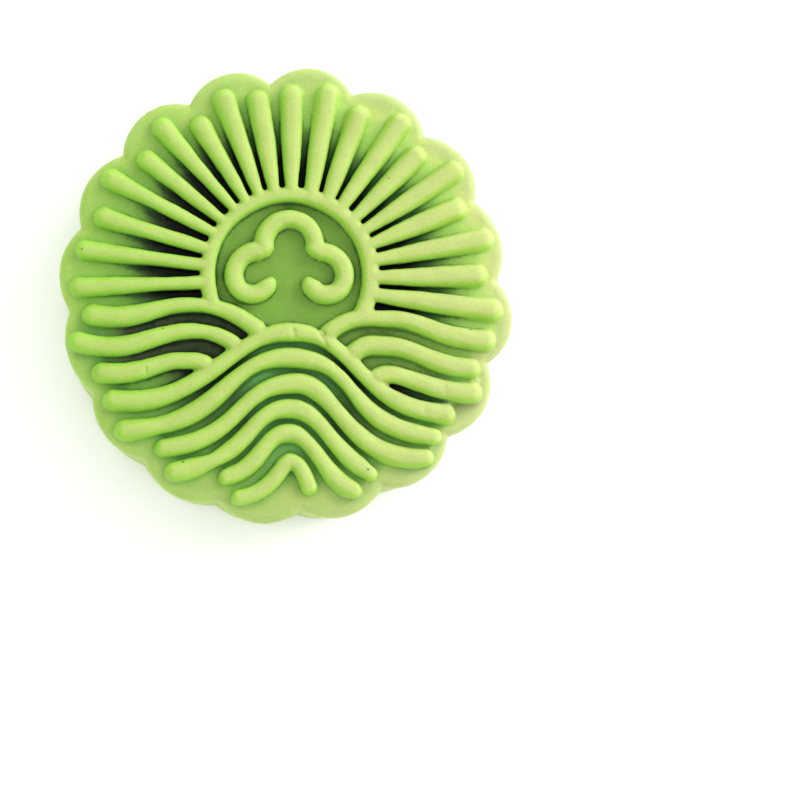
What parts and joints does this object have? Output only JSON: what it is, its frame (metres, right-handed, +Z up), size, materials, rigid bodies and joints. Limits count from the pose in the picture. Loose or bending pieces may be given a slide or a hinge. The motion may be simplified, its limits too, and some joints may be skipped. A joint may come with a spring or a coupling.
{
  "type": "mooncake",
  "caption": "Round pressed mooncake with a scalloped side; its top is in deep relief with a ringed sun, straight rays, nested hills and a cloud.",
  "frame": {"origin": "middle of the flat base, at the centre of the cake's box", "axes": "+Z up out of the pressed top, +Y towards the sun's rays, +X to the right of the picture seen from above with the rays upwards"},
  "size_m": [0.0748, 0.0754, 0.026],
  "materials": {
    "green_dough": null
  },
  "bodies": {
    "root": {"mooncake": "green_dough"}
  },
  "joints": []
}
